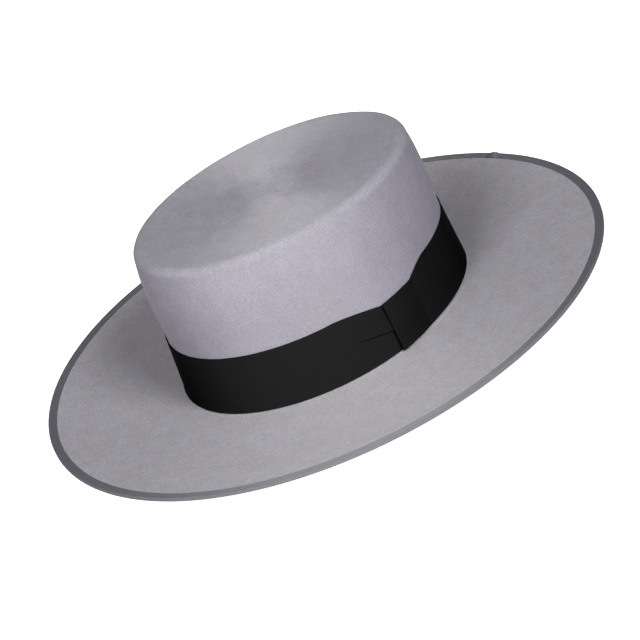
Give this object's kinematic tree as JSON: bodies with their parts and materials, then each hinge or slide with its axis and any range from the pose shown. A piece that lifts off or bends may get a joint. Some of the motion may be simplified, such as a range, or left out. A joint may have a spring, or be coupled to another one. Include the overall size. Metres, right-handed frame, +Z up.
{
  "type": "gaucho hat",
  "caption": "Felt hat with a flat oval crown, a wide ribbon-bound brim and a dark ribbon band gathered by a knot at the side.",
  "frame": {"origin": "under the middle of the brim, on the level of the flat ring that the hat rests on", "axes": "+Z up through the crown, -Y to the front of the hat, +X to the wearer's left, where the knot is"},
  "size_m": [0.3546, 0.3842, 0.1037],
  "materials": {
    "felt": "light grey fur felt with a short brushed nap",
    "edge_ribbon": "slate grey ribbed ribbon with a silky sheen",
    "band_ribbon": "black ribbed ribbon, matt"
  },
  "bodies": {
    "root": {"felt_body": "felt", "edge_binding": "edge_ribbon", "hat_band": "band_ribbon", "band_knot": "band_ribbon"}
  },
  "joints": []
}
